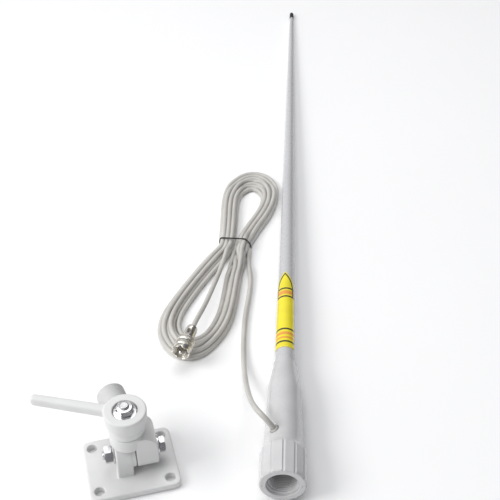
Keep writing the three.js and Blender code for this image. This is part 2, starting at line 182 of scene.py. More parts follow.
def piece_of(name, rings, matrix, surface, closed, sides):
    """A skin over rings of points, each in mm. A closed skin joins its last ring to its first."""
    bm = bmesh.new()
    rows = [[bm.verts.new(Vector(point) * MM) for point in ring] for ring in rings]
    pairs = list(zip(rows, rows[1:]))
    if closed:
        pairs.append((rows[-1], rows[0]))
    for one, two in pairs:
        for i in range(sides):
            j = (i + 1) % sides
            bm.faces.new((one[i], one[j], two[j], two[i]))
    bmesh.ops.remove_doubles(bm, verts=bm.verts, dist=MM * 0.001)
    bmesh.ops.recalc_face_normals(bm, faces=bm.faces)
    for face in bm.faces:
        face.smooth = True
    mesh = bpy.data.meshes.new(name)
    bm.to_mesh(mesh)
    bm.free()
    return add_object(name, mesh, matrix, surface)


def revolved(name, profile, matrix, surface, sides=96, shape=None):
    """A profile of (radius, y) turned about Y. shape moves the point at an angle, a radius and a height."""
    rings = []
    for radius, y in profile:
        ring = []
        for i in range(sides):
            angle = TURN * i / sides
            r, at = shape(angle, radius, y) if shape else (radius, y)
            ring.append((r * math.sin(angle), at, r * math.cos(angle)))
        rings.append(ring)
    return piece_of(name, rings, matrix, surface, profile[0][0] > 0, sides)


def eased(profile, radius, steps=4):
    """The profile with each corner between two straight runs rounded off."""
    done = [profile[0]]
    for before, corner, after in zip(profile, profile[1:], profile[2:]):
        at = Vector(corner)
        one = Vector(before) - at
        two = Vector(after) - at
        reach = min(radius, one.length * 0.45, two.length * 0.45)
        start = at + one.normalized() * reach
        end = at + two.normalized() * reach
        for i in range(steps + 1):
            t = i / steps
            done.append(tuple(start * (1 - t) ** 2 + at * 2 * t * (1 - t) + end * t ** 2))
    done.append(profile[-1])
    return done


def divided(profile, step):
    """The profile with no two points further apart than the step."""
    done = [profile[0]]
    for one, two in zip(profile, profile[1:]):
        parts = max(1, math.ceil(math.dist(one, two) / step))
        for i in range(1, parts + 1):
            done.append(tuple(a + (b - a) * i / parts for a, b in zip(one, two)))
    return done


def prism(outline, low, high, axis, bevel=0.0):
    """A mesh object of an outline in mm, pushed along Z or X from low to high, with rounded edges."""
    bm = bmesh.new()
    place = {"Z": lambda a, b, c: (a, b, c), "X": lambda a, b, c: (c, a, b)}[axis]
    ends = [[bm.verts.new(Vector(place(a, b, at)) * MM) for a, b in outline] for at in (low, high)]
    count = len(outline)
    for end in ends:
        bm.faces.new(end)
    for i in range(count):
        j = (i + 1) % count
        bm.faces.new((ends[0][i], ends[0][j], ends[1][j], ends[1][i]))
    bmesh.ops.recalc_face_normals(bm, faces=bm.faces)
    if bevel:
        rims = [edge for edge in bm.edges if edge.calc_face_angle() > math.radians(50)]
        bmesh.ops.bevel(bm, geom=rims, offset=bevel * MM, segments=4, profile=0.5, affect="EDGES")
    mesh = bpy.data.meshes.new("prism")
    bm.to_mesh(mesh)
    bm.free()
    return add_object("prism", mesh, Matrix(), SATIN_NYLON)


def circle(radius, x=0.0, y=0.0, sides=96):
    angles = [TURN * i / sides for i in range(sides)]
    return [(x + radius * math.cos(angle), y + radius * math.sin(angle)) for angle in angles]


def arc(x, y, radius, start, end, steps=24):
    """Points round a centre from one angle to another, in degrees."""
    made = []
    for i in range(steps + 1):
        angle = math.radians(start + (end - start) * i / steps)
        made.append((x + radius * math.cos(angle), y + radius * math.sin(angle)))
    return made


def settle(obj):
    """Applies the object's modifiers to its mesh."""
    graph = bpy.context.evaluated_depsgraph_get()
    mesh = bpy.data.meshes.new_from_object(obj.evaluated_get(graph))
    obj.modifiers.clear()
    obj.data = mesh


def combined(base, others, operation):
    for other in others:
        modifier = base.modifiers.new("join", "BOOLEAN")
        modifier.operation = operation
        modifier.object = other
        settle(base)
        bpy.data.objects.remove(other)
    return base


def moulded(name, base, added, cut, matrix, voxel=0.5, rounds=5):
    """Joins and cuts the solids, then softens every edge as a moulding's are. The voxel is in mm."""
    combined(base, added, "UNION")
    combined(base, cut, "DIFFERENCE")
    remesh = base.modifiers.new("skin", "REMESH")
    remesh.mode = "VOXEL"
    remesh.voxel_size = voxel * MM
    smooth = base.modifiers.new("soften", "SMOOTH")
    smooth.factor = 0.5
    smooth.iterations = rounds
    thin = base.modifiers.new("thin", "DECIMATE")
    thin.ratio = 0.4
    settle(base)
    base.name = name
    base.data.name = name
    base.data.materials.clear()
    base.data.materials.append(SATIN_NYLON)
    base.data.polygons.foreach_set("use_smooth", [True] * len(base.data.polygons))
    base.matrix_world = matrix @ base.matrix_world
    return base


def part(obj, body, slot, *nodes):
    """The piece rides on its body and stands for CAD nodes. The slot is not used."""
    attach(obj, body)
    if nodes:
        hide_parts(*nodes)
    return obj


# -------------------------------- the coax and its hank, on the floor

COAX_WIDE = 0.005

# From the exit over to the floor and along the whip's side up to the tie, in metres, as in part.mjs but for
# its last point, which lies among the turns.
TAIL_ROUTE = (
    (0.1243, 0.0193, 0.0330), (0.1221, 0.0194, 0.0368), (0.1191, 0.0199, 0.0414), (0.1153, 0.0218, 0.0452),
    (0.1110, 0.0258, 0.0468), (0.1072, 0.0324, 0.0452), (0.1042, 0.0420, 0.0400), (0.1016, 0.0546, 0.0320),
    (0.0990, 0.0704, 0.0228), (0.0964, 0.0890, 0.0140), (0.0940, 0.1090, 0.0076), (0.0920, 0.1300, 0.0040),
    (0.0909, 0.1510, 0.0026), (0.0905, 0.1720, 0.0026), (0.0910, 0.1930, 0.0026), (0.0924, 0.2130, 0.0026),
    (0.0938, 0.2330, 0.0026), (0.0934, 0.2540, 0.0036), (0.0902, 0.2760, 0.0056), (0.0884, 0.2930, 0.0070),
)

# Off the top of the bundle, over the near loop and into the back of the plug, in metres, as in part.mjs and
# then a little way inside the plug.
PLUG_LEAD_ROUTE = (
    (0.0686, 0.2990, 0.0134), (0.0670, 0.2840, 0.0134), (0.0646, 0.2660, 0.0134), (0.0610, 0.2460, 0.0134),
    (0.0568, 0.2260, 0.0134), (0.0524, 0.2060, 0.0136), (0.0486, 0.1890, 0.0150), (0.0454, 0.1750, 0.0176),
    (0.0428, 0.1630, 0.0196), (0.0411, 0.1558, 0.0200), (0.0402, 0.1522, 0.0200),
)

# Outermost and innermost turns of the far loop, from the tie up its right side and down its left, in
# metres.
FAR_OUTER = (
    (0.0880, 0.303), (0.0950, 0.330), (0.1080, 0.356), (0.1165, 0.384), (0.1170, 0.412), (0.1040, 0.438),
    (0.0880, 0.4435), (0.0730, 0.432), (0.0610, 0.405), (0.0585, 0.380), (0.0605, 0.345), (0.0615, 0.303),
)
FAR_INNER = (
    (0.0765, 0.303), (0.0830, 0.328), (0.0910, 0.350), (0.0985, 0.370), (0.1010, 0.387), (0.0972, 0.3995),
    (0.0885, 0.4042), (0.0798, 0.3992), (0.0757, 0.386), (0.0757, 0.365), (0.0750, 0.335), (0.0705, 0.303),
)
# The same for the near loop, from the tie down its left side and up its right.
NEAR_OUTER = (
    (0.0615, 0.303), (0.0500, 0.284), (0.0325, 0.248), (0.0185, 0.215), (0.0090, 0.190), (0.0070, 0.163),
    (0.0280, 0.132), (0.0500, 0.134), (0.0690, 0.163), (0.0765, 0.195), (0.0790, 0.250), (0.0850, 0.303),
)
NEAR_INNER = (
    (0.0705, 0.303), (0.0620, 0.270), (0.0460, 0.236), (0.0350, 0.208), (0.0285, 0.188), (0.0290, 0.171),
    (0.0365, 0.1630), (0.0475, 0.1625), (0.0585, 0.182), (0.0655, 0.208), (0.0700, 0.250), (0.0765, 0.303),
)
# How far inward each turn lies. The first turns are on the floor, and the last three on top of them.
TURN_SHARES = (0, 0.25, 0.5, 0.75, 0.12, 0.38, 0.63)
FLOOR_TURNS = 4
FLOOR_LAYER = 0.0027  # heights of the strands' centres
UPPER_LAYER = 0.0072
STRAND_DRIFT = 0.0003  # how unevenly a turn lies

TIE_AT = 0.303
TIE_REACH = 0.005  # the strands are held together this far each side of the tie
BUNDLE_X = (0.05, 0.1)  # at the tie, the bundle is somewhere between these
HELD_X = (0.0608, 0.0892)  # and is held between these
HELD_Z = (0.0039, 0.0146)
WAIST_LOW = 0.004
WAIST_RISE = 0.0042

LINE_STEP = 0.0045  # between the points that settle
DRAWN_STEP = 0.0022  # between the points that are drawn
SETTLE_ROUNDS = 300
TAIL_FIXED_TO = 0.262  # the tail stays where it is up to this y
LEAD_FIXED = 0.138  # the length of the lead that stays where it is
HOMING = 0.03  # each round's pull back to the drawn route
SINKING = 0.0001
STIFFNESS = 0.35
STRAND_CLEAR = 0.00012
FLOOR_CLEAR = 0.00005


def smooth_line(points, step):
    """A Catmull-Rom line through the points, with a point every step."""
    p = np.array(points, float)
    p = np.vstack([2 * p[0] - p[1], p, 2 * p[-1] - p[-2]])
    fine = []
    for a, b, c, d in zip(p, p[1:], p[2:], p[3:]):
        t = np.linspace(0, 1, 24, endpoint=False)[:, None]
        bend = 2 * b + (c - a) * t + (2 * a - 5 * b + 4 * c - d) * t ** 2
        fine.append(0.5 * (bend + (3 * b - a - 3 * c + d) * t ** 3))
    fine = np.vstack(fine + [p[-2][None]])
    along = np.concatenate([[0], np.cumsum(np.linalg.norm(np.diff(fine, axis=0), axis=1))])
    spots = np.linspace(0, along[-1], int(round(along[-1] / step)) + 1)
    return np.stack([np.interp(spots, along, fine[:, k]) for k in range(3)], 1)


def loop_points(outer, inner, share, layer, waist, spread_rng):
    """One pass of a loop between its outermost and innermost lines, lifted at the tie."""
    xy = np.array(outer) + (np.array(inner) - np.array(outer)) * share
    xy = xy + spread_rng.normal(0, STRAND_DRIFT, xy.shape)
    heights = [waist] + [layer] * (len(xy) - 2) + [waist]
    return [(x, y, z) for (x, y), z in zip(xy, heights)]


def hank_route():
    """The tail, then every turn of the figure round the tie, then the lead to the plug."""
    spread_rng = np.random.default_rng(7)
    points = list(TAIL_ROUTE)
    turns = len(TURN_SHARES)
    for k, share in enumerate(TURN_SHARES):
        layer = FLOOR_LAYER if k < FLOOR_TURNS else UPPER_LAYER
        waist = WAIST_LOW + WAIST_RISE * (k % 3)
        far = loop_points(FAR_OUTER, FAR_INNER, share, layer, waist, spread_rng)
        points += far[1:-1] if k == 0 else far[:-1]
        if k < turns - 1:
            near = loop_points(NEAR_OUTER, NEAR_INNER, share, layer, waist, spread_rng)
            points += near[:-1]
    return points + list(PLUG_LEAD_ROUTE)


def pushed_apart(p, apart, distance):
    """Moves any two points of different stretches that are too close a part of the way apart."""
    squares = (p ** 2).sum(1)
    gaps = squares[:, None] + squares[None, :] - 2 * p @ p.T
    i, j = np.nonzero((gaps < distance ** 2) & (apart > 5))
    i, j = i[i < j], j[i < j]
    away = p[i] - p[j]
    length = np.maximum(np.linalg.norm(away, axis=1), 1e-9)
    push = away * ((distance - length) / length * 0.3)[:, None]
    np.add.at(p, i, push)
    np.add.at(p, j, -push)


def kept_length(p, rest):
    """Pulls every segment most of the way back to its own length."""
    seg = np.diff(p, axis=0)
    length = np.linalg.norm(seg, axis=1)
    fix = seg * ((length - rest) / length * 0.4)[:, None]
    p[:-1] += fix
    p[1:] -= fix


def settled(p, steps, lead_from):
    """The cord lies down: it sinks, stays its own length, keeps clear of itself and fits in the tie."""
    rest = np.linalg.norm(np.diff(p, axis=0), axis=1)
    target = p.copy()
    index = np.arange(len(p))
    apart = np.abs(index[:, None] - index[None, :])
    fixed = index < np.argmax(p[:, 1] > TAIL_FIXED_TO)
    fixed[lead_from:] = True
    for _ in range(steps):
        new = p.copy()
        new[:, :2] += HOMING * (target[:, :2] - p[:, :2])
        new[:, 2] -= SINKING
        new[1:-1] += STIFFNESS * ((new[:-2] + new[2:]) / 2 - new[1:-1])
        for _ in range(2):
            kept_length(new, rest)
        for _ in range(2):
            pushed_apart(new, apart, COAX_WIDE + STRAND_CLEAR)
        waist = (np.abs(new[:, 1] - TIE_AT) < TIE_REACH) & (new[:, 0] > BUNDLE_X[0])
        new[:, 2] = np.maximum(new[:, 2], np.where(waist, HELD_Z[0], COAX_WIDE / 2 + FLOOR_CLEAR))
        new[waist, 0] = np.clip(new[waist, 0], *HELD_X)
        new[waist, 2] = np.minimum(new[waist, 2], HELD_Z[1])
        p = np.where(fixed[:, None], p, new)
    return p


def evened(p, passes=3):
    """Takes out the small kinks that lying together leaves, without shrinking the bends."""
    for _ in range(passes):
        for weight in (0.5, -0.5):
            p[1:-1] += weight * ((p[:-2] + p[2:]) / 2 - p[1:-1])
    return p


def make_coax():
    line = smooth_line(hank_route(), LINE_STEP)
    lead_from = len(line) - 1 - int(LEAD_FIXED / LINE_STEP)
    line = settled(line, SETTLE_ROUNDS, lead_from)
    line = smooth_line(evened(line), DRAWN_STEP)
    data = bpy.data.curves.new("coax_cord", "CURVE")
    data.dimensions = "3D"
    data.bevel_depth = COAX_WIDE / 2
    data.bevel_resolution = 4
    data.use_fill_caps = True
    spline = data.splines.new("POLY")
    spline.points.add(len(line) - 1)
    for point, place in zip(spline.points, line):
        point.co = (*place, 1)
    spline.use_smooth = True
    return add_object("coax_cord", data, Matrix(), JACKET), line


coax, coax_line = make_coax()
part(coax, "antenna", "coax_jacket", "coax_tail", "coax_hank", "plug_lead")

# -------------------------------- the tie round the waist

TIE_HALF_WIDE = 0.7  # mm
TIE_THICK = 1.0
TIE_SLANT = 0.2  # mm along y for each mm across
TIE_MIDDLE = 79  # mm, the x at which the slanted tie is where TIE_AT says


def crossings(line, y):
    """Where the cord passes through the plane at y, as (x, z) in mm."""
    found = []
    for one, two in zip(line, line[1:]):
        if (one[1] - y) * (two[1] - y) <= 0 and BUNDLE_X[0] < one[0] < BUNDLE_X[1]:
            share = (y - one[1]) / (two[1] - one[1])
            found.append(tuple((one + (two - one) * share)[[0, 2]] / MM))
    return found


def tie_outline(reach, sides=96):
    """The outline of the bundle at the tie, a reach outside its strands' centres."""
    spots = np.array(crossings(coax_line, TIE_AT))
    middle = spots.mean(0)
    support = []
    for i in range(sides):
        angle = TURN * i / sides
        out = np.array([math.cos(angle), math.sin(angle)])
        support.append(((spots - middle) @ out).max() + reach)
    points = []
    for i in range(sides):
        angle = TURN * i / sides
        turn = (support[(i + 1) % sides] - support[i - 1]) / (2 * TURN / sides)
        x = support[i] * math.cos(angle) - turn * math.sin(angle)
        z = support[i] * math.sin(angle) + turn * math.cos(angle)
        points.append((middle[0] + x, max(middle[1] + z, GAP + reach - COAX_WIDE / 2 / MM)))
    return points


def make_tie():
    inner = COAX_WIDE / MM / 2 + 0.15
    y = TIE_AT / MM
    corners = [(inner, -1), (inner + TIE_THICK * 0.8, -1), (inner + TIE_THICK, -0.4)]
    corners += [(reach, -side) for reach, side in reversed(corners)]
    rings = []
    for reach, side in corners:
        outline = tie_outline(reach)
        rings.append([(x, y + side * TIE_HALF_WIDE + TIE_SLANT * (TIE_MIDDLE - x), z) for x, z in outline])
    return piece_of("tie_band", rings, Matrix(), BLACK, True, 96)


part(make_tie(), "antenna", "black_rubber", "hank_tie")

# -------------------------------- the antenna, along its own Y from the socket's mouth

COLLAR_RADIUS = 20.3
COLLAR_LENGTH = 32
PANELS = 12
GROOVE_HALF = 1.3
GROOVE_DEEP = 1.4
MOUTH_RADIUS = 14.2
MOUTH_EDGE, COLLAR_EDGE = 0.5, 0.9
THREAD_RADIUS = 12.5
THREAD_PITCH = 25.4 / 14
THREAD_FROM, THREAD_TO = 4.6, 29.5
SOCKET_DEPTH = 30
FLARE_END = 46
SHELL_TOP = 141
SHELL_BORE = 9.9
DIMPLE_OUT, DIMPLE_RADIUS, DIMPLE_DEPTH = 17, 1.1, 0.9
WHIP_START, WHIP_ROOT, WHIP_TIP = 72, 148, 886
ROOT_RADIUS, TIP_RADIUS, SPIGOT_RADIUS = 9.5, 2.5, 2.0
BORE_ROOT, BORE_TIP = 6.6, 1.5
CAP_RADIUS = 2.8
CAP_START, CAP_END = 878, 895
LABEL_START, LABEL_END = 156, 268

GROOVE_EDGE = COLLAR_RADIUS * 0.985
SLOPE = math.atan2(GROOVE_EDGE - CAP_RADIUS, CAP_END - CAP_RADIUS - COLLAR_LENGTH)
ANTENNA_UP = COLLAR_LENGTH * math.sin(SLOPE) + GROOVE_EDGE * math.cos(SLOPE)
ANTENNA = Matrix.Translation(Vector((132, -30, ANTENNA_UP)) * MM) @ Matrix.Rotation(-SLOPE, 4, "X")


def whip_radius(y):
    return ROOT_RADIUS + (TIP_RADIUS - ROOT_RADIUS) * max(0, (y - WHIP_ROOT) / (WHIP_TIP - WHIP_ROOT))


def flare_radius(y):
    """The cone that trims the tops of the collar's panels and runs out into the shell."""
    spots = [0, 31, 34.5, 38, 44, 52, 62, 108, 138, SHELL_TOP]
    radii = [30, 21.4, 19.2, 18.2, 17.45, 17, 16.75, 15.5, 10.9, 10.9]
    return float(np.interp(y, spots, radii))


def panel_radius(angle):
    """Twelve flats with a groove along each corner."""
    step = TURN / PANELS
    off = (angle % step) - step / 2
    flat = COLLAR_RADIUS * math.cos(step / 2) / math.cos(off) + 0.25
    from_corner = COLLAR_RADIUS * (step / 2 - abs(off))
    if from_corner < GROOVE_HALF:
        flat -= GROOVE_DEEP * 0.5 * (1 + math.cos(math.pi * from_corner / GROOVE_HALF))
    return flat


def lesser(a, b, blend=0.5):
    """The smaller of two radii, blended where they meet."""
    return (a + b - math.sqrt((a - b) ** 2 + blend ** 2)) / 2


def dimple(angle, radius):
    """How deep the end face's two mould marks are at a point."""
    deep = 0.0
    for side in (-1, 1):
        away = math.hypot(radius * math.sin(angle) - side * DIMPLE_OUT, radius * math.cos(angle) + 1)
        deep = max(deep, DIMPLE_DEPTH * (1 - min(1, away / DIMPLE_RADIUS) ** 2))
    return deep


def thread(angle, y, pitch, depth):
    """A rounded screw thread's height at an angle and a place along it."""
    return depth * 0.5 * math.cos(TURN * (y / pitch - angle / TURN))


def ferrule_shape(angle, radius, y):
    """Shapes the collar's outside with its panels and the socket's bore with its thread."""
    if y < COLLAR_LENGTH + 30 and radius > MOUTH_RADIUS + 0.1:
        share = (radius - MOUTH_RADIUS) / (COLLAR_RADIUS - MOUTH_RADIUS) if y < COLLAR_LENGTH else 1
        outer = lesser(panel_radius(angle), flare_radius(y))
        if y < 0.01:
            y += dimple(angle, radius)
        return MOUTH_RADIUS + share * (outer - MOUTH_RADIUS), y
    if abs(radius - THREAD_RADIUS) < 0.01 and THREAD_FROM < y < THREAD_TO:
        return radius + thread(angle, y, THREAD_PITCH, 1.0), y
    return radius, y


def make_ferrule():
    end_face = divided([(MOUTH_RADIUS + MOUTH_EDGE, 0), (COLLAR_RADIUS - COLLAR_EDGE, 0)], 0.45)
    side = divided([(COLLAR_RADIUS, COLLAR_EDGE), (COLLAR_RADIUS, 29)], 4)
    side += divided([(COLLAR_RADIUS, 29.5), (COLLAR_RADIUS, FLARE_END)], 0.5)
    shell = [(flare_radius(y), y) for y in (48, 50, 53, 57, 62, 70, 80, 90)]
    cone = [(flare_radius(96), 96), (15.5, 108), (10.95, 138), (10.9, SHELL_TOP), (SHELL_BORE, SHELL_TOP)]
    bore = [(SHELL_BORE, 40), (SHELL_BORE, SOCKET_DEPTH + 0.4)]
    threads = divided([(THREAD_RADIUS, SOCKET_DEPTH), (THREAD_RADIUS, 4.5)], THREAD_PITCH / 8)
    lip = [threads[-1], (MOUTH_RADIUS, 3), (MOUTH_RADIUS, MOUTH_EDGE), (MOUTH_RADIUS + MOUTH_EDGE, 0)]
    profile = end_face + side + shell + eased(cone, 5, 10) + bore + threads + eased(lip, 0.3, 3)[1:-1]
    shell = revolved("ferrule_shell", profile, ANTENNA, GLOSS_NYLON, 240, ferrule_shape)
    return part(shell, "antenna", "white_nylon", "ferrule")


ferrule = make_ferrule()

EXIT_ALONG = 49
EXIT_TURN = math.radians(-30)
EXIT_HOLE = 4.25
EXIT_SPOKE = ANTENNA @ Matrix.Translation((0, EXIT_ALONG * MM, 0)) @ Matrix.Rotation(EXIT_TURN, 4, "Y")
EXIT_SPOKE = EXIT_SPOKE @ Matrix.Rotation(math.pi / 2, 4, "X")


def make_exit():
    """The drilled hole, and the bead of jacket moulding in it that the coax comes out of."""
    drill = prism(circle(EXIT_HOLE, sides=64), 6, 24, "Z")
    drill.matrix_world = EXIT_SPOKE @ Matrix.Rotation(-math.pi / 2, 4, "X")
    combined(ferrule, [drill], "DIFFERENCE")
    outline = [(2.75, 15.2), (3.9, 15.2), (3.9, 17.6), (3.3, 18.6), (2.75, 18.7), (2.75, 15.3)]
    bead = revolved("exit_bead", eased(outline, 0.6)[:-1], EXIT_SPOKE, JACKET, 48)
    part(bead, "antenna", "coax_jacket", "cable_grommet")


make_exit()


def make_potting():
    profile = eased([(0, 31), (6, 31.2), (9, 32), (9.5, 33), (9.5, 45), (0, 45)], 0.8)
    part(revolved("potting_face", profile, ANTENNA, CREAM, 64), "antenna", "cream_plastic", "potting_plug")


def make_whip():
    outside = [(whip_radius(y), y) for y in range(WHIP_ROOT, CAP_START, 10)]
    spigot = [(SPIGOT_RADIUS, CAP_START), (SPIGOT_RADIUS, WHIP_TIP - 1), (BORE_TIP, WHIP_TIP - 1)]
    inside = [(BORE_TIP, CAP_START), (BORE_ROOT, WHIP_START)]
    profile = [(ROOT_RADIUS, WHIP_START)] + outside + spigot + inside
    part(revolved("whip", profile, ANTENNA, GELCOAT, 64), "antenna", "fibreglass", "whip_tube")


def make_cap():
    low = CAP_START + GAP
    outside = eased([(2.2, low), (CAP_RADIUS, low), (CAP_RADIUS, 891), (1.9, 894.4), (0, CAP_END)], 1.5)
    profile = outside + [(0, 886.5), (2.2, 886.3)]
    part(revolved("whip_cap", profile, ANTENNA, BLACK, 40), "antenna", "black_rubber", "tip_cap")


make_potting()
make_whip()
make_cap()

# -------------------------------- the wrap label, blank but for its rules and bars

LABEL_TURN = math.radians(-11)
LABEL_HALF = math.radians(70)
ARCH_START = 238
BORDER_SCALE = 10  # mm from the side to one unit of the map
BORDER_START = 229  # the line round the arch is drawn above this height
BORDER = ((0, (0, 0, 0)), (0.13, (1, 1, 1)), (0.3, (0, 0, 0)))  # where the line is, in units of the map
WEAR = 0.35
LABEL_SKINS = (0.12, 0.4)  # how far the film's two faces are off the whip
YELLOW = (0.86, 0.74, 0.02)
ORANGE = (0.83, 0.36, 0.05)
INK = (0.02, 0.018, 0.015)
# Each printed band: where it starts and ends along the antenna, and its colour.
PRINT = (
    (162.4, 164.6, INK), (167.5, 170.3, ORANGE), (172.8, 176.6, ORANGE), (180, 182.2, INK),
    (228, 230.2, INK), (232.4, 238, ORANGE), (240.4, 242.6, INK),
)


def label_half(y):
    """How far round each side of its centre the label reaches: full below, a pointed arch above."""
    share = max(0, (y - ARCH_START) / (LABEL_END - ARCH_START))
    return LABEL_HALF * (1 - share ** 2.1)


def label_share(y):
    """A height on the label as its share of the label's length."""
    return (y - LABEL_START) / (LABEL_END - LABEL_START)


def label_print(tree):
    """Bands by the height stored in the map, and a line round the arch by the distance from its side."""
    uv = tree.nodes.new("ShaderNodeUVMap")
    split = tree.nodes.new("ShaderNodeSeparateXYZ")
    tree.links.new(uv.outputs["UV"], split.inputs["Vector"])
    stops = [(0, YELLOW)]
    for start, end, color in PRINT:
        stops += [(label_share(start), color), (label_share(end), YELLOW)]
    bands = color_stops(tree, split.outputs["Y"], stops, "CONSTANT")
    border = color_stops(tree, split.outputs["X"], BORDER, "CONSTANT")
    above = tree.nodes.new("ShaderNodeMath")
    above.operation = "GREATER_THAN"
    above.inputs[1].default_value = label_share(BORDER_START)
    tree.links.new(split.outputs["Y"], above.inputs[0])
    both = tree.nodes.new("ShaderNodeMath")
    both.operation = "MULTIPLY"
    tree.links.new(border, both.inputs[0])
    tree.links.new(above.outputs[0], both.inputs[1])
    return mixed(tree, both.outputs[0], bands, (*INK, 1))


def label_surface():
    made = bpy.data.materials.new("label_print")
    made.use_nodes = True
    tree = made.node_tree
    shader = tree.nodes["Principled BSDF"]
    shader.inputs["Roughness"].default_value = 0.3
    shader.inputs["Coat Weight"].default_value = 0.6
    shader.inputs["Coat Roughness"].default_value = 0.08
    worn = color_stops(tree, noise(tree, 90), [(0.35, (0.8, 0.78, 0.7)), (0.6, (1, 1, 1))])
    tree.links.new(mixed(tree, WEAR, label_print(tree), worn, "MULTIPLY"), shader.inputs["Base Color"])
    add_bump(tree, shader, noise(tree, 400), 0.00001)
    return made


def make_label(rows=90, columns=48):
    """A thin bent sheet with a real thickness, mapped by its height and by its distance from its side."""
    bm = bmesh.new()
    map_layer = bm.loops.layers.uv.new("print")
    places = {}
    skins = []
    for lift in LABEL_SKINS:
        grid = []
        for i in range(rows + 1):
            y = LABEL_START + (LABEL_END - 0.05 - LABEL_START) * i / rows
            radius = whip_radius(y) + lift
            line = []
            for j in range(columns + 1):
                across = 2 * j / columns - 1
                angle = LABEL_TURN + label_half(y) * across
                vert = bm.verts.new(Vector((radius * math.sin(angle), y, radius * math.cos(angle))) * MM)
                inset = (1 - abs(across)) * label_half(y) * radius / BORDER_SCALE
                places[vert] = (inset, label_share(y))
                line.append(vert)
            grid.append(line)
        skins.append(grid)
    for grid in skins:
        for i in range(rows):
            for j in range(columns):
                bm.faces.new((grid[i][j], grid[i][j + 1], grid[i + 1][j + 1], grid[i + 1][j]))
    low, high = skins
    rim = [(0, j) for j in range(columns)] + [(i, columns) for i in range(rows)]
    rim += [(rows, columns - j) for j in range(columns)] + [(rows - i, 0) for i in range(rows)]
    for one, two in zip(rim, rim[1:] + rim[:1]):
        bm.faces.new((low[one[0]][one[1]], low[two[0]][two[1]], high[two[0]][two[1]], high[one[0]][one[1]]))
    for face in bm.faces:
        face.smooth = True
        for loop in face.loops:
            loop[map_layer].uv = places[loop.vert]
    bmesh.ops.recalc_face_normals(bm, faces=bm.faces)
    mesh = bpy.data.meshes.new("label")
    bm.to_mesh(mesh)
    bm.free()
    label = add_object("wrap_label", mesh, ANTENNA, label_surface())
    part(label, "antenna", "label_film", "label_band")


make_label()

INNER_PIECES = (
    ("feed_coax", JACKET), ("ground_sleeve", BRASS), ("coil_former", CREAM), ("matching_coil", COPPER),
    ("radiator_wire", COPPER), ("wire_spacer_1", CREAM), ("wire_spacer_2", CREAM), ("wire_spacer_3", CREAM),
)


def dress_inner_pieces():
    """The pieces inside the whip keep their CAD meshes and get a material."""
    for node, surface in INNER_PIECES:
        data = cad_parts[node].data
        data.materials.clear()
        data.materials.append(surface)


dress_inner_pieces()

# -------------------------------- the screw-on plug, along its own Y

PLUG = Matrix.Translation(Vector((41, 155.4, 20)) * MM) @ Matrix.Rotation(math.radians(166), 4, "Z")
RING_START, RING_END = 18, 36
RING_BORE = 7.8
RIBS, RIB_DEPTH = 48, 0.28
NOTCHES, NOTCH_DEPTH, NOTCH_REACH = 8, 1.7, 3
TEETH, TOOTH_DEPTH = 4, 1.1
PLUG_PITCH = 25.4 / 24


def ring_shape(angle, radius, y):
    """Straight ribs on the two bands and scallops round the mouth."""
    if radius > 8.7 and (RING_START + 0.6 < y < 22.6 or 24.4 < y < 29.4):
        return radius - RIB_DEPTH * (0.5 + 0.5 * math.cos(RIBS * angle)), y
    if radius < 7.9 and RING_START + 4 < y < RING_END - 1:
        return radius + thread(angle, y, PLUG_PITCH, 0.7), y
    if y > RING_END - NOTCH_REACH:
        scallop = max(0, math.cos(NOTCHES * angle)) ** 0.6
        return radius, y - NOTCH_DEPTH * scallop * (y - RING_END + NOTCH_REACH) / NOTCH_REACH
    return radius, y


def make_coupling_ring():
    outside = eased([
        (6.1, RING_START), (8.6, RING_START), (9, RING_START + 0.6), (9, 22.4),
        (8.1, 23), (8.1, 24), (9, 24.6), (9, 29.2),
        (8.3, 30), (8.3, 31.2), (8.9, 31.8), (8.9, RING_END), (7.9, RING_END),
    ], 0.35, 3)
    inside = divided([(RING_BORE, RING_END - 0.9), (RING_BORE, 21.4)], PLUG_PITCH / 8) + [(6.1, 21)]
    profile = divided(outside, 0.8) + inside
    ring = revolved("coupling_ring", profile, PLUG, NICKEL, 192, ring_shape)
    return part(ring, "plug_coupling_ring", "nickel", "plug_coupling_ring")


def nose_shape(angle, radius, y):
    """Four teeth round the body's nose."""
    if y > 26 and radius > 4.6:
        return radius, y - (TOOTH_DEPTH if math.cos(TEETH * angle) > 0.6 else 0)
    return radius, y


def make_reducer():
    profile = eased([(2.8, 0.2), (4.4, 0.2), (5.2, 1), (5.2, 4), (4, 4), (4, 14), (2.8, 14)], 0.3, 3)
    reducer = revolved("plug_reducer_turned", profile, PLUG, NICKEL, 64)
    return part(reducer, "antenna", "nickel", "plug_reducer")


def make_shank():
    """The plug's body, with teeth round its nose and a solder hole in its side."""
    profile = eased([
        (4.3, 4.3), (5.7, 4.3), (5.7, 15), (5.7, 21.5), (7.2, 21.5), (7.2, 25),
        (6.4, 25), (6.4, 27), (4.7, 27), (4.7, 22), (4.3, 22),
    ], 0.3, 3)
    shank = revolved("plug_shank", profile, PLUG, NICKEL, 96, nose_shape)
    hole = prism(circle(1.5, 0, 8, 32), 3, 8, "Z")
    hole.matrix_world = PLUG
    combined(shank, [hole], "DIFFERENCE")
    shank.data.polygons.foreach_set("use_smooth", [True] * len(shank.data.polygons))
    return part(shank, "antenna", "nickel", "plug_body")


def make_insulator():
    profile = eased([(0, 22.3), (4.2, 22.3), (4.2, 27), (3.6, 27.5), (0, 27.5)], 0.3)
    insulator = revolved("plug_dielectric", profile, PLUG, CREAM, 48)
    return part(insulator, "antenna", "cream_plastic", "plug_insulator")


def make_pin():
    profile = eased([(0, 27.9), (2, 27.9), (2, 35.6), (1.1, 36.9), (0, 37)], 0.5)
    pin = revolved("plug_centre_pin", profile, PLUG, NICKEL, 40)
    return part(pin, "antenna", "nickel", "plug_pin")


plug_pieces = [make_reducer(), make_shank(), make_insulator(), make_pin(), make_coupling_ring()]

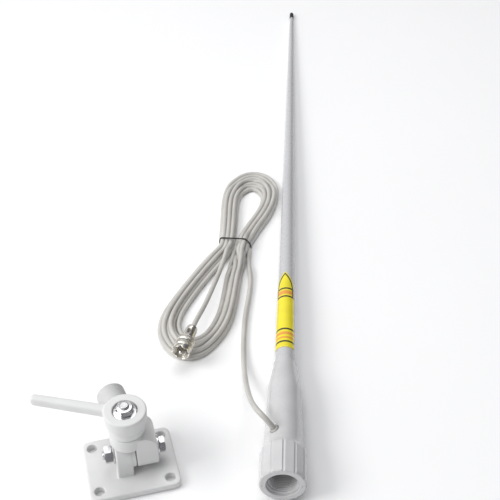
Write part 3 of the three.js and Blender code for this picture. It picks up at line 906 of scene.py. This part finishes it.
# -------------------------------- the mount, drawn square to its plate

MOUNT = Matrix.Rotation(math.radians(17), 4, "Z")
PLATE_X, PLATE_Y, PLATE_HIGH, PLATE_CORNER = 39, 32.5, 6.5, 6
HOLE_X, HOLE_Y, HOLE_RADIUS = 30.4, 23.6, 4.4
PIVOT_HIGH, PIVOT_RADIUS = 22.8, 14.5
EAR_FROM, EAR_TO, DISC_TO = -12.9, 1, 4.2
LUG_FROM, LUG_TO, LUG_TOP, LUG_ROUND = 4.7, 23.5, 50, 14
COLUMN_RADIUS, COLUMN_LOW, COLUMN_TOP = 15.5, 37.9, 51.6
BOLT_CLEAR = 4.3
BOLT_POCKET, POCKET_DEPTH = 8, 6
HUB_LOW, HUB_TOP = 60.9, 75.2
HUB_LOW_RADIUS, HUB_TOP_RADIUS = 17.4, 18.3
HUB_RECESS, RECESS_RADIUS = 3.7, 10.6
HANDLE_LENGTH, HANDLE_LOW, HANDLE_HIGH = 83, 65.5, 74.4
HANDLE_START, HANDLE_ROOT, HANDLE_TIP = 12, 4.7, 3.9
HANDLE_TURN, STUD_TURN = math.radians(154), math.radians(100)
STUD_HIGH, STUD_START, STUD_END = 50.5, 22, 46
SCREW_RADIUS = 11.9  # the middle of the stud's thread
NECK_FROM, NECK_TO, NECK_HALF = 8, 21, 11
FLANGE_RADIUS, FLANGE_FROM, FLANGE_TO = 13.3, 19.5, 23
SWIVEL_CLEAR = 0.4  # the swivelling block's clearance above and below


def across(radius, low, high):
    """A round bar along X, on the tilt bolt's axis."""
    return prism(circle(radius, 0, PIVOT_HIGH), low, high, "X")


def make_base():
    x, y, r = PLATE_X, PLATE_Y, PLATE_CORNER
    corners = []
    for i, (sx, sy) in enumerate(((1, 1), (-1, 1), (-1, -1), (1, -1))):
        corners += arc(sx * (x - r), sy * (y - r), r, 90 * i, 90 * i + 90, 8)
    plate = prism(corners, 0, PLATE_HIGH, "Z", 1.5)
    ear_outline = [(-PIVOT_RADIUS, 2), (PIVOT_RADIUS, 2)] + arc(0, PIVOT_HIGH, PIVOT_RADIUS, 0, 180, 40)
    ear = prism(ear_outline, EAR_FROM, EAR_TO, "X", 1.2)
    disc = across(PIVOT_RADIUS - 0.4, EAR_TO - 2, DISC_TO)
    holes = [
        prism(circle(HOLE_RADIUS, sx * HOLE_X, sy * HOLE_Y, 48), -1, PLATE_HIGH + 1, "Z")
        for sx in (-1, 1) for sy in (-1, 1)
    ]
    holes.append(across(BOLT_CLEAR, EAR_FROM - 1, DISC_TO + 1))
    base = moulded("mount_foot", plate, [ear, disc], holes, MOUNT, voxel=0.55)
    part(base, "mount_base", "satin_nylon", "base_plate")


def make_block():
    outline = [(PIVOT_RADIUS, LUG_TOP), (-PIVOT_RADIUS, LUG_TOP)]
    outline += arc(0, PIVOT_HIGH, PIVOT_RADIUS, 180, 360, 40)
    lug = prism(outline, LUG_FROM, LUG_TO, "X", 1.2)
    centre = (LUG_TO - LUG_ROUND, LUG_TOP - LUG_ROUND)
    round_off = arc(*centre, LUG_ROUND, 90, 0, 24) + [(LUG_TO + 3, centre[1]), (LUG_TO + 3, LUG_TOP + 3)]
    round_off.append((centre[0], LUG_TOP + 3))
    shoulder = prism(round_off, -20, 20, "Z")
    shoulder.matrix_world = Matrix.Rotation(math.pi / 2, 4, "X")
    combined(lug, [shoulder], "DIFFERENCE")
    column = prism(circle(COLUMN_RADIUS), COLUMN_LOW, COLUMN_TOP, "Z", 1)
    holes = [across(BOLT_CLEAR, LUG_FROM - 1, LUG_TO + 1)]
    holes.append(prism(circle(BOLT_CLEAR), COLUMN_LOW - 1, COLUMN_TOP + 1, "Z"))
    hexagonal = circle(BOLT_POCKET, sides=6)
    holes.append(prism(hexagonal, COLUMN_LOW - POCKET_DEPTH, COLUMN_LOW + POCKET_DEPTH, "Z"))
    block = moulded("tilting_block", column, [lug], holes, MOUNT)
    part(block, "tilt_block", "satin_nylon", "tilt_block")


def stud_shape(angle, radius, y):
    """A screw thread that fades out at both ends."""
    fade = min(1, max(0, (y - FLANGE_TO) / 1.5), max(0, (STUD_END - 1 - y) / 1.5))
    return (radius + fade * thread(angle, y, THREAD_PITCH, 1.1), y) if radius > 11 else (radius, y)


def make_stud():
    turned = MOUNT @ Matrix.Rotation(STUD_TURN, 4, "Z")
    low, high = COLUMN_TOP + SWIVEL_CLEAR, HUB_LOW - SWIVEL_CLEAR
    disc = prism(circle(COLUMN_RADIUS), low, high, "Z", 1)
    sides = ((NECK_FROM, -NECK_HALF), (NECK_TO, -NECK_HALF), (NECK_TO, NECK_HALF), (NECK_FROM, NECK_HALF))
    neck = prism(sides, low + 0.1, high - 0.1, "Z", 1)
    flange = prism(circle(FLANGE_RADIUS, 0, STUD_HIGH), FLANGE_FROM, FLANGE_TO, "X", 0.7)
    hole = prism(circle(BOLT_CLEAR), low - 1, high + 1, "Z")
    block = moulded("swivel_block", disc, [neck, flange], [hole], turned)
    part(block, "stud_block", "satin_nylon", "stud_block")
    outline = [(0, STUD_START), (SCREW_RADIUS, STUD_START), (SCREW_RADIUS, 44.2), (10.6, 45.8), (0, STUD_END)]
    screw = divided(eased(outline, 0.5), THREAD_PITCH / 8)
    along_x = turned @ Matrix.Translation((0, 0, STUD_HIGH * MM)) @ Matrix.Rotation(-math.pi / 2, 4, "Z")
    stud = revolved("stud_screw", screw, along_x, SATIN_NYLON, 96, stud_shape)
    part(stud, "stud_block", "satin_nylon")


def make_lever():
    turned = MOUNT @ Matrix.Rotation(HANDLE_TURN, 4, "Z")
    along_z = Matrix.Rotation(math.pi / 2, 4, "X")
    side = [(HUB_LOW_RADIUS, HUB_LOW), (HUB_TOP_RADIUS, HUB_TOP)]
    profile = eased([(0, HUB_LOW)] + side + [(0, HUB_TOP)], 1.8, 6)
    hub = revolved("hub", profile, along_z, SATIN_NYLON, 160)
    outline = arc(HANDLE_LENGTH - HANDLE_TIP, 0, HANDLE_TIP, -90, 90, 16)
    outline = [(HANDLE_START, -HANDLE_ROOT)] + outline + [(HANDLE_START, HANDLE_ROOT)]
    grip = prism(outline, HANDLE_LOW, HANDLE_HIGH, "Z", 2.6)
    recess = prism(circle(RECESS_RADIUS), HUB_TOP - HUB_RECESS, HUB_TOP + 2, "Z")
    hole = prism(circle(BOLT_CLEAR), HUB_LOW - 1, HUB_TOP + 1, "Z")
    lever = moulded("clamp_lever", hub, [grip], [recess, hole], turned, rounds=4)
    part(lever, "lever", "satin_nylon", "lever")


make_base()
make_block()
make_stud()
make_lever()

# -------------------------------- bolts, nuts and washers, along their own Y

TILT_AXIS = MOUNT @ Matrix.Translation((0, 0, PIVOT_HIGH * MM)) @ Matrix.Rotation(-math.pi / 2, 4, "Z")
SWIVEL_AXIS = MOUNT @ Matrix.Rotation(math.pi / 2, 4, "X")
BOLT_PITCH = 1.25
WASHER_THICK = 1.5
TILT_WASHER, SWIVEL_WASHER = 9, 9.9  # radii
BOLT_HEAD, TILT_NUT, SWIVEL_NUT = 7.5, 8.1, 7.6  # radii to the corners


def hexagon(name, radius, low, high, matrix):
    """A hexagon with the turned-off corners that a real nut has."""
    rim = 0.9
    flat = radius * math.cos(math.pi / 6)
    face = flat - 0.2
    cone = [(0, low), (face, low), (radius, low + rim), (radius, high - rim), (face, high), (0, high)]
    body = revolved(name, cone, matrix, STEEL, 96)
    prism_obj = prism(circle(radius * 0.995, sides=6), low - 1, high + 1, "Z")
    prism_obj.matrix_world = matrix @ Matrix.Rotation(-math.pi / 2, 4, "X")
    combined(body, [prism_obj], "INTERSECT")
    bevel = body.modifiers.new("edge", "BEVEL")
    bevel.width = 0.2 * MM
    bevel.segments = 2
    bevel.angle_limit = math.radians(25)
    settle(body)
    return body


def shank_shape(angle, radius, y):
    return (radius + thread(angle, y, BOLT_PITCH, 0.5), y) if radius > 3.8 else (radius, y)


def bolt_shank(name, low, high, matrix):
    """A threaded shank with a chamfer at both ends."""
    ends = [(0, low), (3.2, low), (3.85, low + 0.8), (3.85, high - 0.8), (3.2, high), (0, high)]
    return revolved(name, divided(ends, BOLT_PITCH / 6), matrix, STEEL, 64, shank_shape)


def washer(name, radius, low, high, matrix):
    profile = [(BOLT_CLEAR, low), (radius, low), (radius, high), (BOLT_CLEAR, high), (BOLT_CLEAR, low + 0.01)]
    return revolved(name, eased(profile, 0.3, 3)[:-1], matrix, STEEL, 96)


def make_tilt_fasteners():
    left = EAR_FROM - GAP
    right = LUG_TO + GAP
    pieces = (
        (washer, "tilt_washer_left", TILT_WASHER, left - WASHER_THICK, left, "tilt_washer_nut_side"),
        (hexagon, "tilt_hex_nut", TILT_NUT, left - 8.6, left - 1.8, "tilt_nut"),
        (washer, "tilt_washer_right", TILT_WASHER, right, right + WASHER_THICK, "tilt_washer_head_side"),
        (hexagon, "tilt_bolt_head", BOLT_HEAD, right + 1.8, right + 7.1, "tilt_bolt"),
    )
    for make, name, radius, low, high, node in pieces:
        part(make(name, radius, low, high, TILT_AXIS), "mount_base", "stainless", node)
    part(bolt_shank("tilt_bolt_shank", left - 10.4, right + 3, TILT_AXIS), "mount_base", "stainless")


def make_swivel_fasteners():
    seat = HUB_TOP - HUB_RECESS + GAP
    flange = washer("swivel_flange", SWIVEL_WASHER, seat, seat + WASHER_THICK, SWIVEL_AXIS)
    part(flange, "lever", "stainless", "swivel_washer")
    nut = hexagon("swivel_hex_nut", SWIVEL_NUT, seat + 1.8, seat + 7.4, SWIVEL_AXIS)
    part(nut, "lever", "stainless", "swivel_nut")
    head = hexagon("swivel_bolt_head", BOLT_HEAD, COLUMN_LOW + GAP, COLUMN_LOW + 5.6, SWIVEL_AXIS)
    part(head, "tilt_block", "stainless", "swivel_bolt")
    shank = bolt_shank("swivel_bolt_shank", COLUMN_LOW + 4, HUB_TOP + 6, SWIVEL_AXIS)
    part(shank, "tilt_block", "stainless")


make_tilt_fasteners()
make_swivel_fasteners()

# -------------------------------- floor and light


FLOOR_REACH = 20
FLOOR_DROP = 0.0002


def make_floor():
    bm = bmesh.new()
    bmesh.ops.create_grid(bm, x_segments=8, y_segments=8, size=FLOOR_REACH)
    mesh = bpy.data.meshes.new("floor")
    bm.to_mesh(mesh)
    bm.free()
    add_object("floor", mesh, Matrix.Translation((0, 0, -FLOOR_DROP)), FLOOR)


def add_light(name, place, target, size, power):
    data = bpy.data.lights.new(name, "AREA")
    data.shape = "RECTANGLE"
    data.size, data.size_y = size
    data.energy = power
    light = bpy.data.objects.new(name, data)
    light.location = place
    light.rotation_euler = (Vector(target) - Vector(place)).to_track_quat("-Z", "Y").to_euler()
    bpy.context.collection.objects.link(light)


def make_sky():
    """A studio round the set: bright above and to the left, dim to the right, with a white backdrop."""
    world = bpy.data.worlds.new("studio")
    world.use_nodes = True
    tree = world.node_tree
    coords = tree.nodes.new("ShaderNodeTexCoord")
    toward = tree.nodes.new("ShaderNodeVectorMath")
    toward.operation = "DOT_PRODUCT"
    toward.inputs[1].default_value = (-0.72, -0.1, 0.68)
    tree.links.new(coords.outputs["Generated"], toward.inputs[0])
    share = tree.nodes.new("ShaderNodeMapRange")
    share.inputs["From Min"].default_value = -1
    tree.links.new(toward.outputs["Value"], share.inputs["Value"])
    stops = [(0, (0.12, 0.12, 0.13)), (0.45, (0.16, 0.16, 0.17)), (0.7, (0.55, 0.56, 0.58)), (1, (1, 1, 1))]
    sky = color_stops(tree, share.outputs["Result"], stops)
    seen = tree.nodes.new("ShaderNodeLightPath").outputs["Is Camera Ray"]
    tree.links.new(mixed(tree, seen, sky, (1, 1, 1, 1)), tree.nodes["Background"].inputs["Color"])
    tree.nodes["Background"].inputs["Strength"].default_value = 0.9
    bpy.context.scene.world = world


def light_scene():
    make_sky()
    bpy.context.scene.view_settings.view_transform = "Standard"
    middle = (0.1, 0.2, 0.02)
    add_light("key", (-1.5, -0.3, 1.4), middle, (1.2, 0.9), 23)
    add_light("top", (0.0, 0.9, 1.9), middle, (1.4, 1.0), 12)


make_floor()
light_scene()
